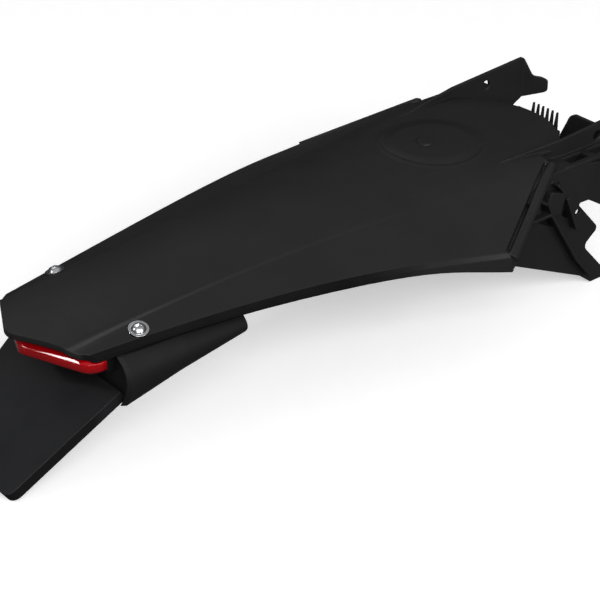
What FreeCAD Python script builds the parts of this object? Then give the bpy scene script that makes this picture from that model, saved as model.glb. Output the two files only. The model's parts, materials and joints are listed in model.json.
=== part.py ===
import FreeCAD, Part
import math
import os

V = FreeCAD.Vector

# Rear fender of an off-road motorcycle, in millimetres.
# +X points to the front of the machine, +Y to its left, +Z up.
# The origin lies midway between the two ear holes, on their common axis.

# Fender shell
wall = 2.6
tail_tip_x = -489.0
tail_tip_radius = 16.0
tail_corner_x = -467.5
tail_corner_y = 41.5
tail_corner_radius = 18.0
tail_side_x = -425.0
tail_side_slope = 0.886
tail_rim = 4.2
step_width = 3.0
edge_bevel = 2.2
inner_bevel = 0.6
rim_flare = 1.2
lip_top_x = -61.0
lip_top_y = 74.0
lip_low_x = -144.0
lip_low_y = 119.5
bead_radius = 3.2
bead_tip = 1.4
bead_sink = 2.4
lip_wall_thick = 2.6
lip_wall_high = 4.5
lip_wall_low = 8.0
groove_radius = 1.6
groove_sink = 0.0
groove_back = 4.4
front_arc_radius = 68.5
front_edge_x = -6.0
deep = -150.0

# Raised disc on the crown and its small boss
disc_x = -115.0
disc_radius = 38.0
disc_height = 0.9
boss_x = -121.0
boss_radius = 6.5
boss_height = 2.2

# Ears
ear_y = 60.7
ear_wall = 2.6
ear_start_x = -112.0
ear_start_y = 51.0
ear_bend_x = -36.0
ear_front_x = 42.0
ear_top = 13.4
ear_hole_radius = 4.2
nose_x = 55.8
nose_y = 45.2
nose_top = -3.8
nose_low = -15.8

# Side brackets
bracket_y = 80.0
bracket_web = 2.5
rib_depth = 7.0
rib_width = 2.2
pad_depth = 6.5
pocket_depth = 4.5
slot_radius = 2.6
shelf_top = -5.5
shelf_thick = 2.6
arm_front_x = 12.0
toe_x = 3.0

# Comb and tongue at the front edge
tooth_count = 6
tooth_pitch = 5.1
tooth_width = 1.5
tooth_thick = 2.6
tooth_height = 15.0
comb_x = 5.0
comb_top = -0.6
comb_base = 3.0
tongue_x = 11.0
tongue_foot_y = 12.0
tongue_head_y = 24.0
tongue_top = 1.6
tongue_low = -24.0
tongue_round = 8.0

# Fender screws and nuts
screw_x = -418.0
screw_y = 50.0
screw_radius = 3.0
screw_clearance = 0.3
flange_radius = 7.0
flange_thick = 1.4
head_radius = 5.2
head_height = 3.0
recess_radius = 2.2
recess_depth = 1.8
seat_depth = 0.4
nut_radius = 5.0
nut_height = 5.0
nut_flange_radius = 6.6
nut_flange_thick = 1.2
boss_outer = 8.0
boss_length = 17.0
thread_play = 0.1

# Plate holder
holder_wall = 3.0
plate_top_x = -441.0
plate_top_z = -53.0
plate_slope = 34.0
plate_length = 99.0
plate_half_top = 60.0
plate_half_low = 45.8
plate_depth = 8.0
plate_corner = 8.0
bulkhead_x = -438.0
cheek_round = 3.0
arm_mid_x = -392.0
arm_end_x = -338.0
seat_gap = 0.15

# Bowed outer line of a holder arm at its rear, middle and end: top, bulge and bottom as (y, z)
ARM_REAR = ((60.0, -27.5), (70.5, -42.0), (62.0, -64.0))
ARM_MIDDLE = ((60.0, -28.5), (68.5, -40.0), (60.0, -55.5))
ARM_END = ((58.0, -34.5), (62.5, -41.0), (58.5, -47.5))

# Tail light
lamp_half = 53.5
lamp_top = -28.2
lamp_low = -39.5
lamp_wall = 2.2
lens_tip_x = -480.0
lens_tip_radius = 9.0
lens_end_x = -458.0
lens_end_radius = 14.0
lens_back_x = -446.0
lens_round = 2.8
board_margin = 7.0
board_thick = 1.6
board_height = 6.4
post_radius = 3.0
post_length = 4.6
post_y = 32.0
led_count = 10
led_margin = 4.0
led_size = 3.4
led_thick = 1.4
light_screw_radius = 1.5
light_head_radius = 3.0
light_head_height = 1.8
light_screw_length = 8.0
grommet_radius = 2.8
grommet_flange = 4.8
grommet_flange_thick = 1.8
grommet_bore = 1.5

# Cross sections of the shell from tail to front:
# x, crease half width, crease height, crown rise, edge half width, edge height, rim height, ridge drop, roll
STATIONS = [
    (-500.0, 40.5, -21.7, 2.2, 47.0, -27.3, 4.2, 1.4, 3.0),
    (-418.0, 41.0, -14.4, 4.2, 59.0, -21.8, 4.2, 1.8, 3.0),
    (-330.0, 45.6, -8.6, 6.2, 75.0, -18.6, 4.8, 0.3, 5.0),
    (-240.0, 53.2, -3.2, 7.6, 95.0, -20.0, 5.8, 0.1, 9.0),
    (-195.0, 58.4, -1.8, 7.8, 106.0, -23.6, 7.6, 0.1, 11.5),
    (-150.0, 63.6, -0.9, 7.8, 117.0, -28.9, 13.0, 0.1, 14.0),
    (-60.0, 74.0, 0.6, 4.8, 140.0, -40.0, 16.0, 0.1, 14.0),
    (-6.0, 74.5, -8.3, 7.9, 150.0, -50.0, 16.0, 0.1, 14.0),
    (40.0, 74.0, -25.0, 12.0, 155.0, -62.0, 16.0, 0.1, 14.0),
]


def half_profile(station):
    """Crease, foot of the ridge, outer edge and rim bottom of one cross section, right half mirrored."""
    x, crease_y, crease_z, crown, edge_y, edge_z, rim, drop, roll = station
    slope = (crease_z - drop - edge_z) / (edge_y - crease_y)
    foot = (crease_y + step_width, crease_z - drop - slope * step_width)
    return [(crease_y, crease_z), foot, (edge_y, edge_z), (edge_y + rim_flare, edge_z - rim)]


def inward(first, second):
    """Unit normal of a profile leg that points to the inside of the shell."""
    run = second[0] - first[0]
    rise = second[1] - first[1]
    size = math.hypot(run, rise)
    return (rise / size, -run / size)


def inset_profile(station, depth):
    """The half profile moved to the inside by the wall thickness."""
    points = half_profile(station)
    fall = 2.0 * math.atan(station[3] / station[1])
    normals = [(-math.sin(fall), -math.cos(fall))]
    for first, second in zip(points, points[1:]):
        normals.append(inward(first, second))
    normals.append(normals[-1])
    moved = []
    for point, a, b in zip(points, normals, normals[1:]):
        scale = depth / (1.0 + a[0] * b[0] + a[1] * b[1])
        moved.append((point[0] + scale * (a[0] + b[0]), point[1] + scale * (a[1] + b[1])))
    return moved


def bow(first, middle, last):
    """Smooth bowed line from first to last that passes through middle."""
    return corner_curve(first, middle * 2.0 - (first + last) * 0.5, last)


def corner_curve(first, corner, last):
    """Smooth line from first to last that rounds off a corner."""
    curve = Part.BezierCurve()
    curve.setPoles([first, corner, last])
    return curve.toShape()


def toward(start, end, distance):
    """Point at a distance from start on the way to end."""
    return start + (end - start).normalize() * distance


def side_points(station, depth):
    """Points of one cross section's left side: ends and corners of its rolled and straight parts."""
    x = station[0]
    roll = station[8]
    crease, foot, edge, hem = [V(x, y, z) for y, z in inset_profile(station, depth)]
    rise = station[2] + station[3] - depth - crease.z
    start_y = crease.y - roll
    start = V(x, start_y, crease.z + rise * (1.0 - (start_y / crease.y) ** 2))
    bevel = inner_bevel if depth else edge_bevel
    return [
        start, crease, toward(foot, edge, roll),
        toward(edge, foot, bevel), toward(edge, hem, bevel), hem,
    ]


def side_edges(points):
    """Rolled shoulder, flange, bevelled edge and rim through the points of one side."""
    start, crease, roll_end, bevel_start, bevel_end, hem = points
    return [
        corner_curve(start, crease, roll_end), Part.makeLine(roll_end, bevel_start),
        Part.makeLine(bevel_start, bevel_end), Part.makeLine(bevel_end, hem),
    ]


def section(station, depth):
    """Closed wire across the shell: outside at depth 0, else the hollow that reaches far down."""
    x = station[0]
    left = side_points(station, depth)
    right = [V(x, -p.y, p.z) for p in left]
    top = V(x, 0, station[2] + station[3] - depth)
    edges = [bow(right[0], top, left[0])] + side_edges(left)
    last_left = left[-1]
    last_right = right[-1]
    if depth:
        last_left = V(x, left[-1].y, deep)
        last_right = V(x, right[-1].y, deep)
        edges.append(Part.makeLine(left[-1], last_left))
    edges.append(Part.makeLine(last_left, last_right))
    if depth:
        edges.append(Part.makeLine(last_right, right[-1]))
    start, crease, roll_end, bevel_start, bevel_end, hem = right
    edges += [
        Part.makeLine(hem, bevel_end), Part.makeLine(bevel_end, bevel_start),
        Part.makeLine(bevel_start, roll_end), corner_curve(roll_end, crease, start),
    ]
    return Part.Wire(edges)


def loft(depth):
    return Part.makeLoft([section(station, depth) for station in STATIONS], True, False)


def rounded_outline(points, z):
    """Closed wire through (x, y, radius) points with rounded corners, at height z."""
    corners = [V(x, y, z) for x, y, radius in points]
    legs = []
    starts = []
    for index, corner in enumerate(corners):
        radius = points[index][2]
        before = (corners[index - 1] - corner).normalize()
        after = (corners[(index + 1) % len(corners)] - corner).normalize()
        if radius == 0:
            starts.append((corner, corner, None))
            continue
        half = before.getAngle(after) / 2.0
        reach = radius / math.tan(half)
        middle = (before + after).normalize() * (radius / math.sin(half) - radius)
        starts.append((corner + before * reach, corner + after * reach, corner + middle))
    for index, (begin, end, middle) in enumerate(starts):
        if middle is not None:
            legs.append(Part.Arc(begin, middle, end).toShape())
        following = starts[(index + 1) % len(starts)][0]
        legs.append(Part.makeLine(end, following))
    return Part.Wire(legs)


def mirrored(points):
    """Points of the +Y half followed by those of the -Y half, in going-round order."""
    other = [(x, -y, radius) for x, y, radius in reversed(points) if y != 0]
    return points + other


def prism(wire, height):
    return Part.Face(wire).extrude(V(0, 0, height))


def both_sides(shape):
    """The shape and its mirror image on the other side of the machine."""
    return [shape, shape.mirror(V(0, 0, 0), V(0, 1, 0))]


def inset_points(points, inset):
    """Corners of a closed outline of (x, y, radius) points, moved inward by a distance."""
    moved = []
    count = len(points)
    for index, (x, y, radius) in enumerate(points):
        before = points[index - 1]
        after = points[(index + 1) % count]
        first = V(x - before[0], y - before[1], 0).normalize()
        second = V(after[0] - x, after[1] - y, 0).normalize()
        shift = (V(first.y, -first.x, 0) + V(second.y, -second.x, 0)) * (inset / (1.0 + first.dot(second)))
        moved.append((x + shift.x, y + shift.y, radius))
    return moved


def plan_outline(inset):
    """Outline of the shell seen from above, with the pointed tail and the slanting front lips."""
    half = [
        (tail_tip_x, 0.0, tail_tip_radius),
        (tail_corner_x, tail_corner_y, tail_corner_radius),
        (tail_side_x, tail_corner_y + tail_side_slope * (tail_side_x - tail_corner_x), 0.0),
        (tail_side_x, 180.0, 0.0),
        (lip_low_x, 180.0, 0.0),
        (lip_low_x, lip_low_y, 0.0),
        (lip_top_x, lip_top_y, 0.0),
        (lip_top_x, ear_y, 0.0),
        (ear_front_x - 6.0, ear_y, 0.0),
    ]
    return rounded_outline(inset_points(mirrored(half), inset), -90.0)


def on_crown(shape, outer, rise, sink):
    """Part of a shape that lies in the layer from sink below the shell surface to rise above it."""
    above = outer.translated(V(0, 0, rise))
    below = outer.translated(V(0, 0, -sink))
    return shape.common(above).cut(below)


def shell_skin(outer, hollow):
    """The lofted channel trimmed to its outline, with the rolled rim along the tail."""
    keep = prism(plan_outline(0.0), 150.0)
    arc_x = front_edge_x - front_arc_radius
    front_cut = Part.makeBox(200.0, 2.0 * ear_y, 150.0, V(arc_x, -ear_y, -90.0))
    front_cut = front_cut.cut(Part.makeCylinder(front_arc_radius, 150.0, V(arc_x, 0, -90.0)))
    skin = outer.cut(hollow).common(keep).cut(front_cut)
    ring = keep.cut(prism(plan_outline(wall), 150.0))
    tail_zone = Part.makeBox(60.0, 240.0, 150.0, V(tail_tip_x - 10.0, -120.0, -90.0))
    rolled = on_crown(ring.common(tail_zone), outer, 0.0, tail_rim)
    return skin.fuse(rolled)


def panel_height(x, y):
    """Height of the side panel's surface at a place seen from above."""
    for first, second in zip(STATIONS, STATIONS[1:]):
        if first[0] <= x <= second[0]:
            share = (x - first[0]) / (second[0] - first[0])
            crease_y, crease_z, crown, edge_y, edge_z = [
                first[i] + share * (second[i] - first[i]) for i in range(1, 6)]
            return crease_z + (edge_z - crease_z) * (y - crease_y) / (edge_y - crease_y)


def lip_line(back, sink):
    """Ends of a line along the slanting front edge of a side panel, moved back and sunk below the surface."""
    slant = V(lip_low_y - lip_top_y, lip_top_x - lip_low_x, 0).normalize() * back
    top = V(lip_top_x, lip_top_y, 0) - slant
    low = V(lip_low_x, lip_low_y, 0) - slant
    top.z = panel_height(top.x, lip_top_y) - sink
    low.z = panel_height(low.x, low.y) - sink
    return top, low


def lip_bead():
    """Raised round bead along the slanting front edge of one side panel, with a tapered upper end."""
    top, low = lip_line(0.0, bead_sink)
    run = low - top
    rod = Part.makeCylinder(bead_radius, run.Length, top, run)
    return rod.fuse(Part.makeCone(bead_radius, bead_tip, bead_radius, top, top - low))


def lip_wall():
    """Short wall under the bead on the front of the side panel."""
    top, low = lip_line(lip_wall_thick / 2.0, bead_sink)
    across = (low - top).cross(V(0, 0, 1)).normalize() * lip_wall_thick
    face = Part.Face(Part.makePolygon([top, low, low + V(0, 0, -lip_wall_low), top + V(0, 0, -lip_wall_high), top]))
    return face.extrude(across)


def lip_groove():
    """Shallow groove just behind the bead."""
    top, low = lip_line(groove_back, groove_sink)
    run = low - top
    return Part.makeCylinder(groove_radius, run.Length, top, run)


def side_face(points, y):
    """Upright face through (x, z, radius) corners at one distance from the middle."""
    wire = rounded_outline(points, 0.0)
    wire.rotate(V(0, 0, 0), V(1, 0, 0), 90.0)
    return Part.Face(wire.translated(V(0, y, 0)))


def ear():
    """Upright drilled wall with its nose bent inward."""
    half = ear_wall / 2.0
    centre = [(ear_start_x, ear_start_y), (ear_bend_x, ear_y), (ear_front_x, ear_y), (nose_x, nose_y)]
    outside = [V(x, y + half, -60.0) for x, y in centre]
    inside = [V(x, y - half, -60.0) for x, y in reversed(centre)]
    plan = Part.makePolygon(outside + inside + [outside[0]])
    upright = Part.Face(plan).extrude(V(0, 0, 120.0))
    side = [
        (ear_start_x, -8.0, 0.0),
        (ear_start_x, 2.8, 0.0),
        (ear_bend_x - 6.0, ear_top - 6.0, 30.0),
        (ear_front_x, ear_top, 3.0),
        (ear_front_x + 5.5, nose_top + 1.2, 5.0),
        (nose_x, nose_top, 4.0),
        (nose_x, nose_low, 4.0),
        (ear_front_x - 1.0, nose_low - 6.0, 6.0),
        (ear_front_x - 11.0, -27.0, 0.0),
        (6.0, -24.0, 0.0),
        (-44.0, -12.0, 0.0),
    ]
    body = upright.common(side_face(side, 0.0).extrude(V(0, 100.0, 0)))
    return body.cut(Part.makeCylinder(ear_hole_radius, 40.0, V(0, ear_y - 20.0, 0), V(0, 1, 0)))


def floor_height():
    """Lowest point of the plate holder, which the bracket feet share."""
    slope = math.radians(plate_slope)
    return plate_top_z - plate_length * math.sin(slope) - plate_depth * math.cos(slope)


def bracket_outline():
    """Corners of the bracket's web as (x, z, radius), from its root round by the foot to its top."""
    foot = floor_height()
    return [
        (-215.0, -18.0, 0.0),
        (-104.0, -69.3, 0.0),
        (-27.4, -105.0, 0.0),
        (-14.0, foot, 0.0),
        (toe_x, foot, 1.0),
        (toe_x, foot + 4.0, 2.0),
        (-25.8, -79.5, 5.0),
        (-10.5, -68.0, 4.0),
        (-36.0, -39.6, 1.5),
        (-24.0, -40.0, 3.0),
        (arm_front_x, -62.0, 6.0),
        (arm_front_x, shelf_top, 3.0),
        (-62.0, shelf_top, 0.0),
        (-100.0, 0.0, 0.0),
        (-215.0, 0.0, 0.0),
    ]


def bar(first, second, depth, width):
    """Flat rib between two points of the bracket, standing out from its web."""
    start = V(first[0], bracket_y - bracket_web, first[1])
    run = V(second[0] - first[0], 0, second[1] - first[1])
    length = run.Length
    block = Part.makeBox(length, depth + bracket_web, width, V(0, 0, -width / 2.0))
    turn = math.degrees(math.atan2(run.z, run.x))
    block.rotate(V(0, 0, 0), V(0, 1, 0), -turn)
    return block.translated(start)


def bracket():
    """Ribbed bracket that carries one front foot: flat web, pocketed root, box boss and slanting ribs."""
    web = side_face(bracket_outline(), bracket_y).extrude(V(0, -bracket_web, 0))
    root = [(-92.0, -6.0, 0.0), (-46.0, -12.0, 0.0), (-33.0, -60.0, 0.0), (-64.0, -56.0, 0.0), (-92.0, -42.0, 0.0)]
    web = web.fuse(side_face(root, bracket_y).extrude(V(0, -pad_depth, 0)))
    pockets = [
        [(-60.0, -13.0, 0.0), (-51.0, -25.5, 0.0), (-60.0, -22.0, 0.0)],
        [(-78.0, -42.0, 0.0), (-63.5, -42.0, 0.0), (-62.5, -51.0, 0.0)],
        [(-48.0, -32.0, 0.0), (-37.5, -56.0, 0.0), (-53.0, -44.0, 0.0)],
        [(-75.5, -28.5, 0.0), (-70.5, -34.0, 0.0), (-75.5, -34.0, 0.0)],
    ]
    for pocket in pockets:
        web = web.cut(side_face(pocket, bracket_y + 1.0).extrude(V(0, -pocket_depth - 1.0, 0)))
    web = web.cut(Part.makeCylinder(slot_radius, 30.0, V(-35.2, bracket_y - 15.0, -47.0), V(0, 1, 0)))
    ribs = [bar(first, second, rib_depth, rib_width) for first, second in (
        ((-94.0, -35.0), (-66.0, -35.0)),
        ((-71.0, -34.8), (-39.2, -84.1)),
        ((-39.2, -84.1), (-21.6, -104.0)),
        ((-54.9, -26.7), (-42.1, -56.3)),
        ((-66.0, -12.0), (-57.0, -22.0)),
        ((-52.0, -4.5), (arm_front_x - 1.0, -5.0)),
        ((-77.0, -24.4), (-88.0, -16.0)),
    )]
    block = [
        (-76.5, -24.4, 2.0), (-73.0, -15.5, 3.0), (-57.0, -21.5, 3.0), (-62.0, -37.5, 2.0), (-71.0, -35.5, 2.0)]
    box = side_face(block, bracket_y - bracket_web).extrude(V(0, bracket_web + rib_depth, 0))
    return web.multiFuse(ribs + [box])


def shelf():
    """Open shelf that ties the ear to the top of the bracket."""
    width = bracket_y - ear_y
    plate = Part.makeBox(arm_front_x - lip_top_x, width, shelf_thick, V(lip_top_x, ear_y, shelf_top - shelf_thick))
    for start in (-42.0, -16.0):
        hole = Part.makeBox(20.0, width - 10.0, 3.0 * shelf_thick, V(start, ear_y + 5.0, shelf_top - 2 * shelf_thick))
        plate = plate.cut(hole)
    return plate


def comb():
    """Row of upright teeth on a small ledge at the middle of the front edge."""
    width = (tooth_count - 1) * tooth_pitch
    base_z = comb_top - tooth_height
    front_z = STATIONS[-2][2] + STATIONS[-2][3]
    side = -width / 2.0 - 3.0
    ledge = Part.makeBox(20.0, width + 6.0, comb_base, V(comb_x - 16.0, side, base_z - comb_base))
    back = Part.makeBox(5.0, width + 6.0, front_z - 0.5 - base_z, V(comb_x - 16.0, side, base_z))
    teeth = []
    for index in range(tooth_count):
        y = -width / 2.0 + index * tooth_pitch
        foot = Part.makePolygon([
            V(comb_x, y - tooth_width, base_z), V(comb_x + tooth_thick, y - tooth_width, base_z),
            V(comb_x + tooth_thick, y + tooth_width, base_z), V(comb_x, y + tooth_width, base_z),
            V(comb_x, y - tooth_width, base_z)])
        half = tooth_width / 2.5
        head_x = comb_x + 2.0
        head = Part.makePolygon([
            V(head_x, y - half, comb_top), V(head_x + 1.4, y - half, comb_top),
            V(head_x + 1.4, y + half, comb_top), V(head_x, y + half, comb_top), V(head_x, y - half, comb_top)])
        teeth.append(Part.makeLoft([foot, head], True, True))
    return ledge.multiFuse(teeth + [back])


def tongue():
    """Rounded tongue on the right, just ahead of the front edge."""
    corners = [
        (-ear_y, tongue_low, 0.0),
        (-tongue_foot_y, tongue_low, 0.0),
        (-tongue_head_y, tongue_top, tongue_round),
        (-ear_y, tongue_top, 0.0),
    ]
    wire = rounded_outline(corners, 0.0)
    wire.rotate(V(0, 0, 0), V(1, 1, 1), 120.0)
    return Part.Face(wire.translated(V(tongue_x, 0, 0))).extrude(V(wall, 0, 0))


def flange_point(station):
    """Point of the side flange at the screw's share of its width."""
    foot, edge = half_profile(STATIONS[1])[1:3]
    share = (screw_y - foot[0]) / (edge[0] - foot[0])
    foot, edge = half_profile(station)[1:3]
    return V(station[0], foot[0] + share * (edge[0] - foot[0]), foot[1] + share * (edge[1] - foot[1]))


def screw_frame():
    """Seat point and axis of the left fender screw, square to the side flange."""
    foot, edge = half_profile(STATIONS[1])[1:3]
    across = V(0, edge[0] - foot[0], edge[1] - foot[1])
    along = flange_point(STATIONS[2]) - flange_point(STATIONS[0])
    axis = along.cross(across).normalize()
    return flange_point(STATIONS[1]) - axis * seat_depth, axis


def on_axis(shape, seat, axis):
    """A shape drawn along +Z from its origin, moved to the seat and turned to the axis."""
    shape.Placement = FreeCAD.Placement(seat, FreeCAD.Rotation(V(0, 0, 1), axis))
    return shape


def fender_shell(outer, hollow):
    skin = shell_skin(outer, hollow)
    pieces = []
    disc = Part.makeCylinder(disc_radius, 60.0, V(disc_x, 0, -20.0))
    pieces.append(on_crown(disc, outer, disc_height, 1.0))
    boss = Part.makeCylinder(boss_radius, 60.0, V(boss_x, 0, -20.0))
    pieces.append(on_crown(boss, outer, boss_height, 1.0))
    room = loft(wall / 2.0)
    for shape in (lip_bead(), lip_wall(), ear(), bracket().common(room), shelf()):
        pieces += both_sides(shape)
    pieces.append(comb())
    pieces.append(tongue())
    body = skin.multiFuse(pieces)
    for groove in both_sides(lip_groove()):
        body = body.cut(groove)
    seat, axis = screw_frame()
    hole = Part.makeCylinder(screw_radius + screw_clearance, 40.0, seat - axis * 20.0, axis)
    sink = Part.makeCylinder(flange_radius + screw_clearance, 20.0, seat, axis)
    for cutter in both_sides(hole.fuse(sink)):
        body = body.cut(cutter)
    return body


def boss_start():
    """Distance from the screw seat down to the top of the holder's boss."""
    return wall - seat_depth + seat_gap


def fender_screw():
    """Button head screw with a flange and a six-sided recess, drawn along +Z from its seat."""
    length = boss_start() + boss_length + nut_height + 2.0
    shank = Part.makeCylinder(screw_radius, length, V(0, 0, -length))
    flange = Part.makeCylinder(flange_radius, flange_thick)
    ball = (head_radius ** 2 + head_height ** 2) / (2.0 * head_height)
    dome = Part.makeSphere(ball, V(0, 0, flange_thick + head_height - ball))
    dome = dome.common(Part.makeCylinder(head_radius, head_height + 1.0, V(0, 0, flange_thick)))
    top = flange_thick + head_height
    recess = hexagon(recess_radius, recess_depth + 1.0).translated(V(0, 0, top - recess_depth))
    return shank.fuse(flange).fuse(dome).cut(recess)


def hexagon(radius, height):
    points = []
    for index in range(7):
        turn = math.radians(60.0 * index)
        points.append(V(radius * math.cos(turn), radius * math.sin(turn), 0))
    return Part.Face(Part.makePolygon(points)).extrude(V(0, 0, height))


def fender_nut():
    """Flanged nut, drawn along +Z with its bearing face at the foot of the boss."""
    top = -boss_start() - boss_length
    body = hexagon(nut_radius / math.cos(math.radians(30.0)), nut_height).translated(V(0, 0, top - nut_height))
    flange = Part.makeCylinder(nut_flange_radius, nut_flange_thick, V(0, 0, top - nut_flange_thick))
    bore = Part.makeCylinder(screw_radius + thread_play, 3.0 * nut_height, V(0, 0, top - 2.0 * nut_height))
    return body.fuse(flange).cut(bore)


def arm_arc(x, inset, top, bulge, low):
    """Bowed outer line of a holder arm at one place along its length."""
    points = [V(x, y - inset, z) for y, z in (top, bulge, low)]
    return bow(points[0], points[1], points[2])


def arm_section(x, points, shrink):
    outside = arm_arc(x, shrink, *points)
    inside = arm_arc(x, holder_wall, *points)
    ends = [Part.makeLine(inside.Vertexes[i].Point, outside.Vertexes[i].Point) for i in (0, 1)]
    return Part.Wire([outside, ends[1], inside, ends[0]])


def holder_arm():
    """Bowed side wall that runs forward under the fender and tapers to its end."""
    places = ((bulkhead_x, ARM_REAR), (arm_mid_x, ARM_MIDDLE), (arm_end_x, ARM_END))
    arm = Part.makeLoft([arm_section(x, points, 0.0) for x, points in places], True, True)
    rear = [arm_section(bulkhead_x, ARM_REAR, 0.0), arm_section(bulkhead_x - cheek_round, ARM_REAR, 0.7 * holder_wall)]
    return arm.fuse(Part.makeLoft(rear, True, True))


def bulkhead():
    """Cross wall with the two cheeks, on which the light is fixed."""
    right = arm_arc(bulkhead_x, holder_wall / 2.0, *ARM_REAR)
    left = right.mirror(V(0, 0, 0), V(0, 1, 0))
    top = Part.makeLine(left.Vertexes[0].Point, right.Vertexes[0].Point)
    low = Part.makeLine(left.Vertexes[1].Point, right.Vertexes[1].Point)
    face = Part.Face(Part.Wire([top, right, low, left]))
    wall_plate = face.extrude(V(holder_wall, 0, 0))
    holes = [x_cylinder(grommet_radius, 20.0, bulkhead_x - 5.0, 0.0)]
    for y in (post_y, -post_y):
        holes.append(x_cylinder(light_screw_radius + thread_play, 20.0, bulkhead_x - 5.0, y))
    for hole in holes:
        wall_plate = wall_plate.cut(hole)
    return wall_plate


def x_cylinder(radius, length, x, y):
    """Cylinder along +X at the middle height of the light."""
    return Part.makeCylinder(radius, length, V(x, y, (lamp_top + lamp_low) / 2.0), V(1, 0, 0))


def number_plate_face():
    """Sloping face for the number plate: a tray with a rim, open underneath."""
    half = [(0.0, plate_half_top, 0.0), (plate_length, plate_half_low, plate_corner)]
    tray = prism(rounded_outline(mirrored(half), 0.0), plate_depth)
    inner = [
        (holder_wall, plate_half_top - holder_wall, 1.0),
        (plate_length - holder_wall, plate_half_low - holder_wall, plate_corner - holder_wall),
    ]
    tray = tray.cut(prism(rounded_outline(mirrored(inner), holder_wall), plate_depth))
    slope = math.radians(plate_slope)
    down = V(-math.cos(slope), 0, -math.sin(slope))
    below = V(math.sin(slope), 0, -math.cos(slope))
    turn = FreeCAD.Rotation(down, V(0, 1, 0), below, "XYZ")
    tray.Placement = FreeCAD.Placement(V(plate_top_x, 0, plate_top_z), turn)
    return tray


def holder_boss(clear_form, seat, axis):
    """Boss that meets the underside of the fender, with the shelf that ties it to the arm."""
    top = boss_start()
    rod = Part.makeCylinder(boss_outer, boss_length, V(0, 0, -top - boss_length))
    rod = on_axis(rod, seat, axis).common(clear_form)
    foot = seat - axis * (top + boss_length)
    shelf_z = foot.z + 1.5
    inner_y = foot.y - boss_outer
    size_y = ARM_MIDDLE[1][0] - 0.7 * holder_wall - inner_y
    plate = Part.makeBox(screw_x + 16.0 - bulkhead_x, size_y, holder_wall, V(bulkhead_x, inner_y, shelf_z))
    bore = Part.makeCylinder(screw_radius + screw_clearance, 80.0, V(0, 0, -40.0))
    relief = Part.makeCylinder(nut_flange_radius + 1.5, 20.0, V(0, 0, -top - boss_length - 20.0))
    body = plate.cut(on_axis(relief, seat, axis)).fuse(rod)
    return body.cut(on_axis(bore, seat, axis))


def plate_holder(clear_form):
    seat, axis = screw_frame()
    body = bulkhead().fuse(number_plate_face())
    pieces = both_sides(holder_arm()) + both_sides(holder_boss(clear_form, seat, axis))
    return body.multiFuse(pieces)


def lens_outline(inset, back, z):
    half = [
        (lens_tip_x, 0.0, lens_tip_radius),
        (lens_end_x, lamp_half, lens_end_radius),
        (back, lamp_half, 0.0),
    ]
    return rounded_outline(inset_points(mirrored(half), inset), z)


def light_lens():
    """Bowed red lens with rounded front edges, hollow behind."""
    height = lamp_top - lamp_low
    body = prism(lens_outline(0.0, lens_back_x, lamp_low), height)
    front = [edge for edge in body.Edges if edge.BoundBox.ZLength < 0.01
             and edge.BoundBox.XMin < lens_back_x - 0.5]
    body = body.makeChamfer(lens_round, front)
    hollow = prism(lens_outline(lamp_wall, lens_back_x + 2.0 * lamp_wall, lamp_low + lamp_wall), height - 2.0 * lamp_wall)
    return body.cut(hollow)


def light_housing():
    """Open tray behind the lens with two posts for the board."""
    depth = bulkhead_x - lens_back_x
    height = lamp_top - lamp_low
    body = Part.makeBox(depth, 2.0 * lamp_half, height, V(lens_back_x, -lamp_half, lamp_low))
    room = Part.makeBox(depth, 2.0 * (lamp_half - lamp_wall), height - 2.0 * lamp_wall,
                        V(lens_back_x - lamp_wall, lamp_wall - lamp_half, lamp_low + lamp_wall))
    body = body.cut(room)
    posts = []
    for y in (post_y, -post_y):
        posts.append(x_cylinder(post_radius, post_length + 1.0, bulkhead_x - lamp_wall - post_length, y))
    body = body.multiFuse(posts)
    for y in (post_y, -post_y):
        body = body.cut(x_cylinder(light_screw_radius + thread_play, 20.0, bulkhead_x - lamp_wall - post_length, y))
    return body.cut(x_cylinder(grommet_radius, 4.0 * lamp_wall, bulkhead_x - 2.0 * lamp_wall, 0.0))


def board_back():
    return bulkhead_x - lamp_wall - post_length


def board_half():
    return lamp_half - board_margin


def led_board():
    middle = (lamp_top + lamp_low) / 2.0
    return Part.makeBox(board_thick, 2.0 * board_half(), board_height,
                        V(board_back() - board_thick, -board_half(), middle - board_height / 2.0))


def light_emitter(index):
    middle = (lamp_top + lamp_low) / 2.0
    pitch = 2.0 * (board_half() - led_margin) / (led_count - 1)
    y = (index - (led_count - 1) / 2.0) * pitch
    base = board_back() - board_thick
    return Part.makeBox(led_thick, led_size, led_size, V(base - led_thick, y - led_size / 2.0, middle - led_size / 2.0))


def light_screws():
    """Two small round head screws from the front of the cross wall into the posts."""
    face = bulkhead_x + holder_wall
    screws = []
    for y in (post_y, -post_y):
        head = x_cylinder(light_head_radius, light_head_height, face, y)
        shank = x_cylinder(light_screw_radius, light_screw_length, face - light_screw_length, y)
        screws.append(head.fuse(shank))
    return screws


def cable_grommet():
    """Rubber grommet through the housing and the cross wall."""
    inner = bulkhead_x - lamp_wall
    outer = bulkhead_x + holder_wall
    neck = x_cylinder(grommet_radius, outer - inner, inner, 0.0)
    room = (lamp_top - lamp_low) / 2.0 - lamp_wall - seat_gap
    inside = x_cylinder(room, grommet_flange_thick, inner - grommet_flange_thick, 0.0)
    outside = x_cylinder(grommet_flange, grommet_flange_thick, outer, 0.0)
    bore = x_cylinder(grommet_bore, 40.0, inner - 20.0, 0.0)
    return neck.fuse(inside).fuse(outside).cut(bore)


def save(name, shape):
    solids = shape.Solids
    shape = solids[0] if len(solids) == 1 else Part.makeCompound(solids)
    shape.exportStep("parts/" + name + ".step")
    print(name, len(solids), round(shape.Volume / 1000.0, 2), shape.isValid())


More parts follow.
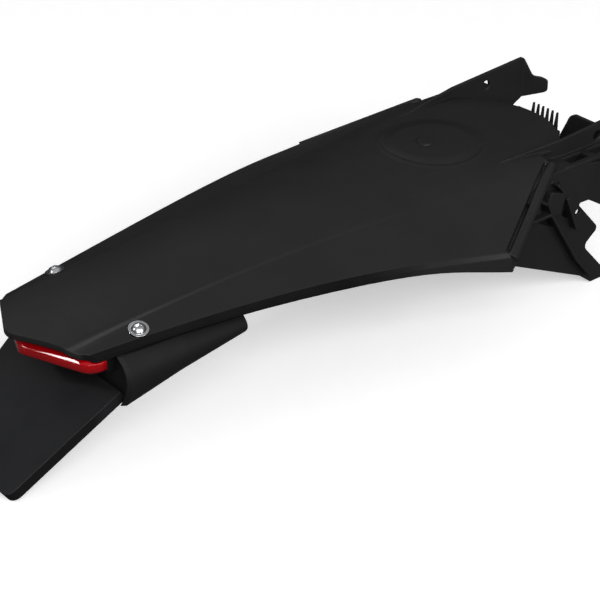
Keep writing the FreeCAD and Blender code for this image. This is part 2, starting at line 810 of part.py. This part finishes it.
os.makedirs("parts", exist_ok=True)
outer_form = loft(0.0)
hollow_form = loft(wall)
seat_point, seat_axis = screw_frame()
save("plate_holder", plate_holder(loft(wall + seat_gap)))
save("light_lens", light_lens())
save("light_housing", light_housing())
save("led_board", led_board())
for number in range(led_count):
    save("led_" + str(number + 1), light_emitter(number))
save("light_screws", Part.makeCompound(light_screws()))
save("cable_grommet", cable_grommet())
save("fender_screws", Part.makeCompound(both_sides(on_axis(fender_screw(), seat_point, seat_axis))))
save("fender_nuts", Part.makeCompound(both_sides(on_axis(fender_nut(), seat_point, seat_axis))))
save("fender_shell", fender_shell(outer_form, hollow_form))
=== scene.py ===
import json
import bmesh
import bpy
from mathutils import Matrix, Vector


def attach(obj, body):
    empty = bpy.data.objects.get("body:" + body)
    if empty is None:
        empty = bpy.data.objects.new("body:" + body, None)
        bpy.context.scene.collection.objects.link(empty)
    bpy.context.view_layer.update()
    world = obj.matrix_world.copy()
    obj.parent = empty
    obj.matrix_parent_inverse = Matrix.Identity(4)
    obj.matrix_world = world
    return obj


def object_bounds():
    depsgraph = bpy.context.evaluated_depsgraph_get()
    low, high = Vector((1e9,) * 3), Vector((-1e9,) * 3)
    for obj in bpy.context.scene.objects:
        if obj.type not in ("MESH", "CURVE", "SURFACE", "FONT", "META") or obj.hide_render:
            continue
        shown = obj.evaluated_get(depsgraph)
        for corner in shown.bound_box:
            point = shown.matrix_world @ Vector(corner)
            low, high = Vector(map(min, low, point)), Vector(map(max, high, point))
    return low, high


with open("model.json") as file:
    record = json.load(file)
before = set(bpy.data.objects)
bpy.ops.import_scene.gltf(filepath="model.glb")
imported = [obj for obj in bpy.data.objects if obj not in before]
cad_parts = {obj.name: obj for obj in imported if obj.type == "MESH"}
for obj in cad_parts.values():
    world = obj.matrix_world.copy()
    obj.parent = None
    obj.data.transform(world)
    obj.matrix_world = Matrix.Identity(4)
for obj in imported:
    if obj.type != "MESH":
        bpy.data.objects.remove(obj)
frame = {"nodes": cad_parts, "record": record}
cad_low, cad_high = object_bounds()

# Camera at the photograph's viewing angle; places are in metres, lens and sensor in millimetres
CAMERA_AT = Vector((-1.006, -0.938, 0.620))
CAMERA_LOOK = Vector((0.546, 0.670, -0.503))
CAMERA_LENS = 114.0
CAMERA_REACH = 20.0
SENSOR_WIDTH = 36.0

# Floor: glow and paper as the camera sees them, and the duller tone that lights the object
FLOOR_HEIGHT = cad_low[2] - 0.0004
FLOOR_HALF = 4.0
FLOOR_GLOW = 0.40
FLOOR_PAPER = ((0.87, 0.87, 0.87), (0.90, 0.90, 0.90))
FLOOR_BOUNCE = (0.14, 0.14, 0.14, 1.0)

# World: strength from low to overhead, and its share from the right side over to the left
SKY_HEIGHT = (0.20, 0.85)
SKY_STRENGTH = (0.05, 0.38)
SKY_SIDE = (-0.30, 0.90)
SKY_SHARE = (1.20, 0.45)

# Soft boxes: name, place, aim, size in metres, power in watts
LIGHTS = (
    ("key", (-1.6, -2.0, 1.5), (-0.2, 0.0, 0.0), 1.6, 50.0),
    ("side", (0.1, -2.3, 1.2), (-0.1, 0.0, 0.0), 1.3, 26.0),
    ("fill", (-0.2, 1.6, 1.9), (-0.2, 0.0, 0.0), 1.4, 5.0),
    ("lens_strip", (-1.49, 0.435, 0.98), (-0.47, 0.0, -0.034), 0.16, 3.0),
)

# Raised disc on the crown: the band over its step, and the swelling that softens it
DISC_AT = (-0.115, 0.0, 0.0)
DISC_RADIUS = 0.038
DISC_BAND = (0.0012, 0.0028)
DISC_INSIDE = 0.010
DISC_OUTSIDE = 0.006
DISC_SWELL = 0.0028

# Crease beside the crown: half width at the tail, curved at first and then straight, with its step
CREASE_START = -0.460
CREASE_HALF = 0.0407
CREASE_CURVE = 0.258
CREASE_BEND = 0.22
CREASE_SLOPE = 0.1155
STEP_WIDTH = 0.0036
STEP_SPREAD = 0.05
STEP_SHARE = (-0.17, 0.83)
STEP_DROP = 0.0013
STEP_FADE = (-0.400, -0.230)
STEP_LEFT = 0.40
STEP_END = (-0.085, -0.065)

# Groove behind each bead: a line along the lip that falls outward
LIP_TOP = Vector((-0.061, 0.074, 0.0))
LIP_LOW = Vector((-0.144, 0.1195, 0.0))
GROOVE_BACK = 0.0044
GROOVE_HIGH = 0.0003
GROOVE_FALL = 0.30
GROOVE_RADIUS = 0.0016
GROOVE_BANK = (0.0003, 0.0018)
GROOVE_DEPTH = 0.0013
GROOVE_UNDER = (-0.0035, -0.0030)
GROOVE_ENTRY = (0.0, 0.0015)
GROOVE_END = (0.0900, 0.0915)
FILL_REACH = (0.006, 0.046)
FILL_SINK = 0.0003
FILL_SIDES = 24

# Outer edge of the shell, with the part of its rim that gets painted shade
EDGE_START = -0.500
EDGE_HALF = 0.0470
EDGE_SLOPE = 0.135
EDGE_CURVE = 0.19
RIM_INSIDE = (-0.0060, -0.0045)
RIM_FACING = (0.72, 0.82)
RIM_TAIL = (-0.260, -0.150)
RIM_PAINTED_SHADE = 0.92

# Plate holder: where its arms begin and its plate ends, and how deep the painted shade on the arms and the
# plate's side edges is
ARM_START = (-0.452, -0.444)
ARM_PAINTED_SHADE = 0.60
PLATE_END = (-0.460, -0.452)
PLATE_EDGE_FACING = (0.45, 0.60)
PLATE_EDGE_PAINTED_SHADE = 0.90

# Noise value at which a tone or a shine begins and ends, and the roughness added where a finish's painted
# shade is darkest
NOISE_SPAN = (0.3, 0.7)
PAINTED_SHADE_SPAN = (0.1, 1.0)
PAINTED_SHADE_DULLNESS = 0.5


class Graph:
    """Adds nodes to a node tree; a value is an output or a number."""

    def __init__(self, tree):
        self.nodes = tree.nodes
        self.links = tree.links

    def add(self, kind):
        return self.nodes.new("ShaderNode" + kind)

    def place(self):
        """Place on the part, in metres."""
        return self.add("TexCoord").outputs["Object"]

    def facing(self):
        """Direction that the face looks in."""
        return self.add("NewGeometry").outputs["True Normal"]

    def axes(self, vector):
        """X, Y and Z of a vector, by name."""
        node = self.add("SeparateXYZ")
        self.links.new(vector, node.inputs["Vector"])
        return node.outputs

    def maths(self, operation, first, second=0.0):
        node = self.add("Math")
        node.operation = operation
        for socket, value in zip(node.inputs, (first, second)):
            if isinstance(value, float):
                socket.default_value = value
            else:
                self.links.new(value, socket)
        return node.outputs["Value"]

    def plus(self, first, second):
        return self.maths("ADD", first, second)

    def minus(self, first, second):
        return self.maths("SUBTRACT", first, second)

    def times(self, first, *others):
        for other in others:
            first = self.maths("MULTIPLY", first, other)
        return first

    def absolute(self, value):
        return self.maths("ABSOLUTE", value)

    def span(self, source, reach, start, end, smooth=False):
        """Goes from start to end while the source goes through its reach, and stays there."""
        node = self.add("MapRange")
        if smooth:
            node.interpolation_type = "SMOOTHSTEP"
        node.inputs["From Min"].default_value = reach[0]
        node.inputs["From Max"].default_value = reach[1]
        node.inputs["To Min"].default_value = start
        node.inputs["To Max"].default_value = end
        self.links.new(source, node.inputs["Value"])
        return node.outputs["Result"]

    def noise(self, place, scale, detail=3.0):
        """Noise with a scale in features per metre."""
        node = self.add("TexNoise")
        node.inputs["Scale"].default_value = scale
        node.inputs["Detail"].default_value = detail
        node.inputs["Roughness"].default_value = 0.55
        self.links.new(place, node.inputs["Vector"])
        return node.outputs["Fac"]

    def tones(self, source, dark, light, reach=NOISE_SPAN):
        """Colour from dark to light over a source."""
        node = self.add("ValToRGB")
        for element, stop, colour in zip(node.color_ramp.elements, reach, (dark, light)):
            element.position = stop
            element.color = (*colour, 1.0)
        self.links.new(source, node.inputs["Fac"])
        return node.outputs["Color"]

    def vector(self, operation, first, second=None):
        """Vector sum, with a fixed second vector where it is given."""
        node = self.add("VectorMath")
        node.operation = operation
        self.links.new(first, node.inputs[0])
        if second is not None:
            node.inputs[1].default_value = second
        return node

    def mix(self, kind, share):
        """Mix of two colours or vectors by a share; its inputs are A and B."""
        node = self.add("Mix")
        node.data_type = kind
        self.links.new(share, node.inputs["Factor"])
        return node

    def bump(self, height, distance, strength, normal=None):
        node = self.add("Bump")
        node.inputs["Distance"].default_value = distance
        node.inputs["Strength"].default_value = strength
        self.links.new(height, node.inputs["Height"])
        if normal is not None:
            self.links.new(normal, node.inputs["Normal"])
        return node.outputs["Normal"]

    def rounded(self, radius):
        """Normal that is rounded at edges."""
        node = self.add("Bevel")
        node.samples = 6
        node.inputs["Radius"].default_value = radius
        return node.outputs["Normal"]

    def at_edges(self, rounded):
        """1 where a rounded normal leaves the face's own, on the edges."""
        node = self.vector("DOT_PRODUCT", rounded)
        self.links.new(self.facing(), node.inputs[1])
        return self.span(node.outputs["Value"], (0.985, 0.80), 0.0, 1.0)


class Finish(Graph):
    """Fresh node material with its surface shader."""

    def __init__(self, name):
        self.material = bpy.data.materials.new(name)
        self.material.use_nodes = True
        super().__init__(self.material.node_tree)
        self.shader = self.nodes["Principled BSDF"]

    def give(self, **outputs):
        """Links outputs to the shader's inputs."""
        names = {"colour": "Base Color", "roughness": "Roughness", "normal": "Normal"}
        for key, output in outputs.items():
            self.links.new(output, self.shader.inputs[names[key]])

    def set(self, name, value):
        self.shader.inputs[name].default_value = value


def soft_disc(finish, place, normal):
    """Normal with the disc's step blended into a soft swelling."""
    flat = finish.vector("MULTIPLY", place, (1.0, 1.0, 0.0)).outputs["Vector"]
    away = finish.vector("DISTANCE", flat, DISC_AT).outputs["Value"]
    near, far = DISC_BAND
    outer = finish.span(away, (DISC_RADIUS + near, DISC_RADIUS + far), 1.0, 0.0)
    inner = finish.span(away, (DISC_RADIUS - far, DISC_RADIUS - near), 0.0, 1.0)
    outside = finish.span(finish.axes(finish.facing())["Z"], (-0.5, -0.3), 0.0, 1.0)
    blend = finish.mix("VECTOR", finish.times(outer, inner, outside))
    finish.links.new(normal, blend.inputs["A"])
    blend.inputs["B"].default_value = (0.0, 0.0, 1.0)
    level = finish.vector("NORMALIZE", blend.outputs["Result"]).outputs["Vector"]
    swell = finish.span(away, (DISC_RADIUS - DISC_INSIDE, DISC_RADIUS + DISC_OUTSIDE), 1.0, 0.0, smooth=True)
    return finish.bump(swell, DISC_SWELL, 1.0, level)


def crease_step(finish, place, normal):
    """Normal with the step beside the crown, sharp at the tail and soft toward the beads."""
    parts = finish.axes(place)
    run = finish.maths("MAXIMUM", finish.minus(parts["X"], CREASE_START), 0.0)
    bent = finish.maths("MINIMUM", run, CREASE_BEND)
    past = finish.minus(run, bent)
    bend = finish.times(bent, bent, CREASE_CURVE)
    straight = finish.times(past, CREASE_SLOPE)
    crease = finish.plus(finish.plus(bend, straight), CREASE_HALF)
    beside = finish.minus(finish.absolute(parts["Y"]), crease)
    wide = finish.plus(finish.times(past, STEP_SPREAD), STEP_WIDTH)
    step = finish.span(finish.maths("DIVIDE", beside, wide), STEP_SHARE, 1.0, 0.0, smooth=True)
    fade = finish.span(parts["X"], STEP_FADE, 1.0, STEP_LEFT)
    end = finish.span(parts["X"], STEP_END, 1.0, 0.0)
    return finish.bump(finish.times(step, fade, end), STEP_DROP, 1.0, normal)


def bead_groove(finish, place, normal):
    """Normal with the groove behind the beads, on the upper side of the panel only."""
    parts = finish.axes(place)
    line = (LIP_LOW - LIP_TOP).normalized()
    from_top_x = finish.minus(parts["X"], LIP_TOP.x)
    from_top_y = finish.minus(finish.absolute(parts["Y"]), LIP_TOP.y)
    back = finish.minus(finish.times(from_top_y, line.x), finish.times(from_top_x, line.y))
    down = finish.plus(finish.times(from_top_x, line.x), finish.times(from_top_y, line.y))
    bank = finish.span(finish.absolute(finish.minus(back, GROOVE_BACK)), GROOVE_BANK, 1.0, 0.0, smooth=True)
    level = finish.minus(GROOVE_HIGH, finish.times(down, GROOVE_FALL))
    on_top = finish.span(finish.minus(parts["Z"], level), GROOVE_UNDER, 0.0, 1.0)
    entry = finish.span(down, GROOVE_ENTRY, 0.0, 1.0)
    end = finish.span(down, GROOVE_END, 1.0, 0.0)
    sunk = finish.times(bank, on_top, end, entry)
    return finish.bump(finish.minus(1.0, sunk), GROOVE_DEPTH, 1.0, normal)


def painted_rim_shade(finish, place):
    """Share of the colour left on the rim of the tail half, where the colour is darkened as painted shade."""
    parts = finish.axes(place)
    upright = finish.span(finish.axes(finish.facing())["Z"], RIM_FACING, 1.0, 0.0)
    tail = finish.span(parts["X"], RIM_TAIL, RIM_PAINTED_SHADE, 0.0)
    run = finish.minus(parts["X"], EDGE_START)
    edge = finish.plus(finish.times(run, finish.plus(finish.times(run, EDGE_CURVE), EDGE_SLOPE)), EDGE_HALF)
    at_rim = finish.span(finish.minus(finish.absolute(parts["Y"]), edge), RIM_INSIDE, 0.0, 1.0)
    return finish.minus(1.0, finish.times(upright, tail, at_rim))


def painted_holder_shade(finish, place):
    """Share of the colour left on the arms and on the side edges of the plate, darkened as painted shade
    under the tail.
    """
    along = finish.axes(place)["X"]
    arms = finish.span(along, ARM_START, 0.0, ARM_PAINTED_SHADE)
    plate = finish.span(along, PLATE_END, PLATE_EDGE_PAINTED_SHADE, 0.0)
    sides = finish.span(finish.axes(finish.facing())["Z"], PLATE_EDGE_FACING, 1.0, 0.0)
    return finish.minus(1.0, finish.plus(arms, finish.times(plate, sides)))


def moulded(name, dark, light, edge_colour, rough, grain, edge_radius, gloss=0.5, lines=(), shade=None):
    """Moulded plastic: grain, faint flow marks, rubbed edges, drawn lines and painted shade on a part."""
    finish = Finish(name)
    place = finish.place()
    normal = finish.rounded(edge_radius)
    worn = finish.times(finish.at_edges(normal), finish.noise(place, 90.0, 4.0))
    tone = finish.mix("RGBA", worn)
    finish.links.new(finish.tones(finish.noise(place, 14.0, 4.0), dark, light), tone.inputs["A"])
    tone.inputs["B"].default_value = (*edge_colour, 1.0)
    colour = tone.outputs["Result"]
    shine = finish.span(finish.noise(place, 45.0), NOISE_SPAN, rough - 0.05, rough + 0.05)
    # Painted shade: the colour is scaled down by the share left, and the roughness is raised where it is
    # darkest
    if shade is not None:
        left = shade(finish, place)
        shaded = finish.vector("SCALE", colour)
        finish.links.new(left, shaded.inputs["Scale"])
        colour = shaded.outputs["Vector"]
        shine = finish.plus(shine, finish.span(left, PAINTED_SHADE_SPAN, PAINTED_SHADE_DULLNESS, 0.0))
    for line in lines:
        normal = line(finish, place, normal)
    relief = finish.bump(finish.noise(place, grain, 2.0), 0.00008, 0.35, normal)
    finish.give(colour=colour, roughness=shine, normal=relief)
    finish.set("Specular IOR Level", gloss)
    return finish.material


def lens_plastic(name):
    """Clear dark red plastic with painted shade toward its lower edge, a faint ripple and a glossy skin."""
    finish = Finish(name)
    place = finish.place()
    cloud = finish.noise(place, 30.0, 2.0)
    # Painted shade: the red is mixed toward a near-black red at the lens's lower edge
    red_with_painted_shade = finish.mix("RGBA", finish.span(finish.axes(place)["Z"], (-0.0385, -0.0300), 0.30, 1.0))
    red_with_painted_shade.inputs["A"].default_value = (0.045, 0.0002, 0.0008, 1.0)
    finish.links.new(finish.tones(cloud, (0.42, 0.0010, 0.0040), (0.55, 0.0015, 0.0070)), red_with_painted_shade.inputs["B"])
    shine = finish.span(finish.noise(place, 260.0), NOISE_SPAN, 0.04, 0.09)
    relief = finish.bump(cloud, 0.0004, 0.2, finish.rounded(0.0012))
    finish.give(colour=red_with_painted_shade.outputs["Result"], roughness=shine, normal=relief)
    finish.set("IOR", 1.45)
    finish.set("Specular IOR Level", 0.35)
    finish.set("Coat Weight", 0.20)
    finish.set("Coat Roughness", 0.03)
    finish.set("Transmission Weight", 0.15)
    return finish.material


def plated(name):
    """Zinc plate: bright metal with fine turning marks and dull patches."""
    finish = Finish(name)
    place = finish.place()
    patch = finish.noise(place, 700.0, 4.0)
    tone = finish.tones(patch, (0.62, 0.62, 0.63), (0.84, 0.85, 0.87), (0.25, 0.75))
    fine = finish.noise(place, 2600.0, 2.0)
    shine = finish.span(fine, NOISE_SPAN, 0.14, 0.26)
    relief = finish.bump(fine, 0.00003, 0.3, finish.rounded(0.0004))
    finish.give(colour=tone, roughness=shine, normal=relief)
    finish.set("Metallic", 1.0)
    return finish.material


def circuit_board(name):
    """Solder mask with paler tracks."""
    finish = Finish(name)
    place = finish.place()
    tracks = finish.add("TexBrick")
    tracks.inputs["Scale"].default_value = 160.0
    tracks.inputs["Color1"].default_value = (0.012, 0.085, 0.040, 1.0)
    tracks.inputs["Color2"].default_value = (0.015, 0.100, 0.048, 1.0)
    tracks.inputs["Mortar"].default_value = (0.030, 0.150, 0.070, 1.0)
    finish.links.new(place, tracks.inputs["Vector"])
    shine = finish.span(finish.noise(place, 300.0), NOISE_SPAN, 0.28, 0.40)
    relief = finish.bump(tracks.outputs["Fac"], 0.00004, 0.5)
    finish.give(colour=tracks.outputs["Color"], roughness=shine, normal=relief)
    return finish.material


def resin(name):
    """Pale resin body of a light emitter."""
    finish = Finish(name)
    cloud = finish.noise(finish.place(), 900.0)
    tone = finish.tones(cloud, (0.62, 0.56, 0.36), (0.80, 0.76, 0.60))
    shine = finish.span(cloud, NOISE_SPAN, 0.2, 0.35)
    finish.give(colour=tone, roughness=shine, normal=finish.bump(cloud, 0.00003, 0.3))
    return finish.material


finishes = {
    "black_moulding": moulded("satin_black_moulding", (0.0112, 0.0112, 0.0114), (0.0148, 0.0148, 0.0151),
                              edge_colour=(0.024, 0.024, 0.025), rough=0.46, grain=2600.0, edge_radius=0.0014,
                              gloss=0.26, lines=(soft_disc, crease_step, bead_groove), shade=painted_rim_shade),
    "red_lens": lens_plastic("red_lens_plastic"),
    "dark_housing": moulded("dark_housing_moulding", (0.0040, 0.0040, 0.0042), (0.0060, 0.0060, 0.0062),
                            edge_colour=(0.015, 0.015, 0.016), rough=0.5, grain=3000.0, edge_radius=0.0006,
                            gloss=0.2),
    "board": circuit_board("coated_board"),
    "emitter": resin("emitter_resin"),
    "zinc": plated("bright_zinc"),
    "grommet": moulded("grommet_rubber", (0.010, 0.010, 0.010), (0.016, 0.016, 0.016),
                       edge_colour=(0.030, 0.030, 0.030), rough=0.7, grain=1800.0, edge_radius=0.0005),
}
plate_finish = moulded("plate_holder_moulding", (0.0115, 0.0117, 0.0130), (0.0155, 0.0158, 0.0174),
                       edge_colour=(0.026, 0.026, 0.028), rough=0.38, grain=3200.0, edge_radius=0.0009,
                       gloss=0.30, shade=painted_holder_shade)
for part in frame["record"]["subparts"]:
    node = frame["nodes"][part["node"]]
    node.data.materials.clear()
    node.data.materials.append(finishes[part["material_slot"]])
frame["nodes"]["plate_holder"].data.materials[0] = plate_finish


def groove_shade_rod(name, side):
    """Rod that closes the upper part of the groove behind a bead from within the wall; its darker finish is
    painted shade in the groove.
    """
    line = (LIP_LOW - LIP_TOP).normalized()
    start = LIP_TOP + Vector((-line.y, line.x, 0.0)) * GROOVE_BACK
    ends = []
    for reach in FILL_REACH:
        spot = start + line * reach
        ends.append(Vector((spot.x, side * spot.y, GROOVE_HIGH - GROOVE_FALL * reach - FILL_SINK)))
    way = ends[1] - ends[0]
    mesh = bpy.data.meshes.new(name)
    shape = bmesh.new()
    bmesh.ops.create_cone(shape, cap_ends=True, segments=FILL_SIDES, radius1=GROOVE_RADIUS,
                          radius2=GROOVE_RADIUS, depth=way.length)
    shape.to_mesh(mesh)
    shape.free()
    rod = bpy.data.objects.new(name, mesh)
    rod.location = (ends[0] + ends[1]) / 2.0
    rod.rotation_euler = way.to_track_quat("Z", "Y").to_euler()
    bpy.context.scene.collection.objects.link(rod)
    # The darker housing finish on the rod is painted shade, standing in for the shade in the groove
    mesh.materials.append(finishes["dark_housing"])
    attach(rod, "root")


groove_shade_rod("groove_shade_rod_left", 1.0)
groove_shade_rod("groove_shade_rod_right", -1.0)


def floor_material():
    """White paper whose own glow keeps the ground white for the camera and leaves the shadow."""
    finish = Finish("white_sweep")
    fibre = finish.noise(finish.place(), 60.0)
    finish.give(colour=finish.tones(fibre, *FLOOR_PAPER))
    finish.set("Roughness", 0.9)
    finish.set("Specular IOR Level", 0.0)
    camera_ray = finish.add("LightPath").outputs["Is Camera Ray"]
    glow = finish.add("Emission")
    finish.links.new(finish.times(camera_ray, FLOOR_GLOW), glow.inputs["Strength"])
    lit = finish.add("AddShader")
    finish.links.new(finish.shader.outputs["BSDF"], lit.inputs[0])
    finish.links.new(glow.outputs["Emission"], lit.inputs[1])
    dull = finish.add("BsdfDiffuse")
    dull.inputs["Color"].default_value = FLOOR_BOUNCE
    seen = finish.add("MixShader")
    finish.links.new(camera_ray, seen.inputs["Fac"])
    finish.links.new(dull.outputs["BSDF"], seen.inputs[1])
    finish.links.new(lit.outputs["Shader"], seen.inputs[2])
    finish.links.new(seen.outputs["Shader"], finish.nodes["Material Output"].inputs["Surface"])
    return finish.material


def add_floor():
    """Square pale ground just under the part."""
    mesh = bpy.data.meshes.new("floor")
    turns = ((-1.0, -1.0), (1.0, -1.0), (1.0, 1.0), (-1.0, 1.0))
    corners = [(x * FLOOR_HALF, y * FLOOR_HALF, FLOOR_HEIGHT) for x, y in turns]
    mesh.from_pydata(corners, [], [(0, 1, 2, 3)])
    mesh.materials.append(floor_material())
    floor = bpy.data.objects.new("floor", mesh)
    bpy.context.scene.collection.objects.link(floor)


def add_light(name, place, aim, size, power):
    """Square soft box that points at a spot."""
    data = bpy.data.lights.new(name, "AREA")
    data.shape = "SQUARE"
    data.size = size
    data.energy = power
    light = bpy.data.objects.new(name, data)
    light.location = place
    light.rotation_euler = (Vector(aim) - Vector(place)).to_track_quat("-Z", "Y").to_euler()
    bpy.context.scene.collection.objects.link(light)


def add_world():
    """Soft light that is strongest overhead and on the right; the camera sees plain white."""
    world = bpy.data.worlds.new("studio")
    bpy.context.scene.world = world
    world.use_nodes = True
    graph = Graph(world.node_tree)
    fill = graph.nodes["Background"]
    fill.inputs["Color"].default_value = (1.0, 1.0, 1.0, 1.0)
    parts = graph.axes(graph.add("TexCoord").outputs["Generated"])
    height = graph.span(parts["Z"], SKY_HEIGHT, *SKY_STRENGTH)
    share = graph.span(parts["Y"], SKY_SIDE, *SKY_SHARE)
    graph.links.new(graph.times(height, share), fill.inputs["Strength"])
    white = graph.add("Background")
    white.inputs["Color"].default_value = (1.0, 1.0, 1.0, 1.0)
    white.inputs["Strength"].default_value = 1.0
    seen = graph.add("MixShader")
    graph.links.new(graph.add("LightPath").outputs["Is Camera Ray"], seen.inputs["Fac"])
    graph.links.new(fill.outputs["Background"], seen.inputs[1])
    graph.links.new(white.outputs["Background"], seen.inputs[2])
    graph.links.new(seen.outputs["Shader"], graph.nodes["World Output"].inputs["Surface"])


def add_camera():
    """Camera at the photograph's viewing angle."""
    data = bpy.data.cameras.new("camera")
    data.sensor_fit = "HORIZONTAL"
    data.sensor_width = SENSOR_WIDTH
    data.lens = CAMERA_LENS
    data.clip_end = CAMERA_REACH
    camera = bpy.data.objects.new("camera", data)
    camera.location = CAMERA_AT
    camera.rotation_euler = CAMERA_LOOK.to_track_quat("-Z", "Y").to_euler()
    bpy.context.scene.collection.objects.link(camera)
    bpy.context.scene.camera = camera


add_floor()
add_world()
for light_values in LIGHTS:
    add_light(*light_values)
add_camera()
bpy.context.scene.view_settings.view_transform = "Standard"
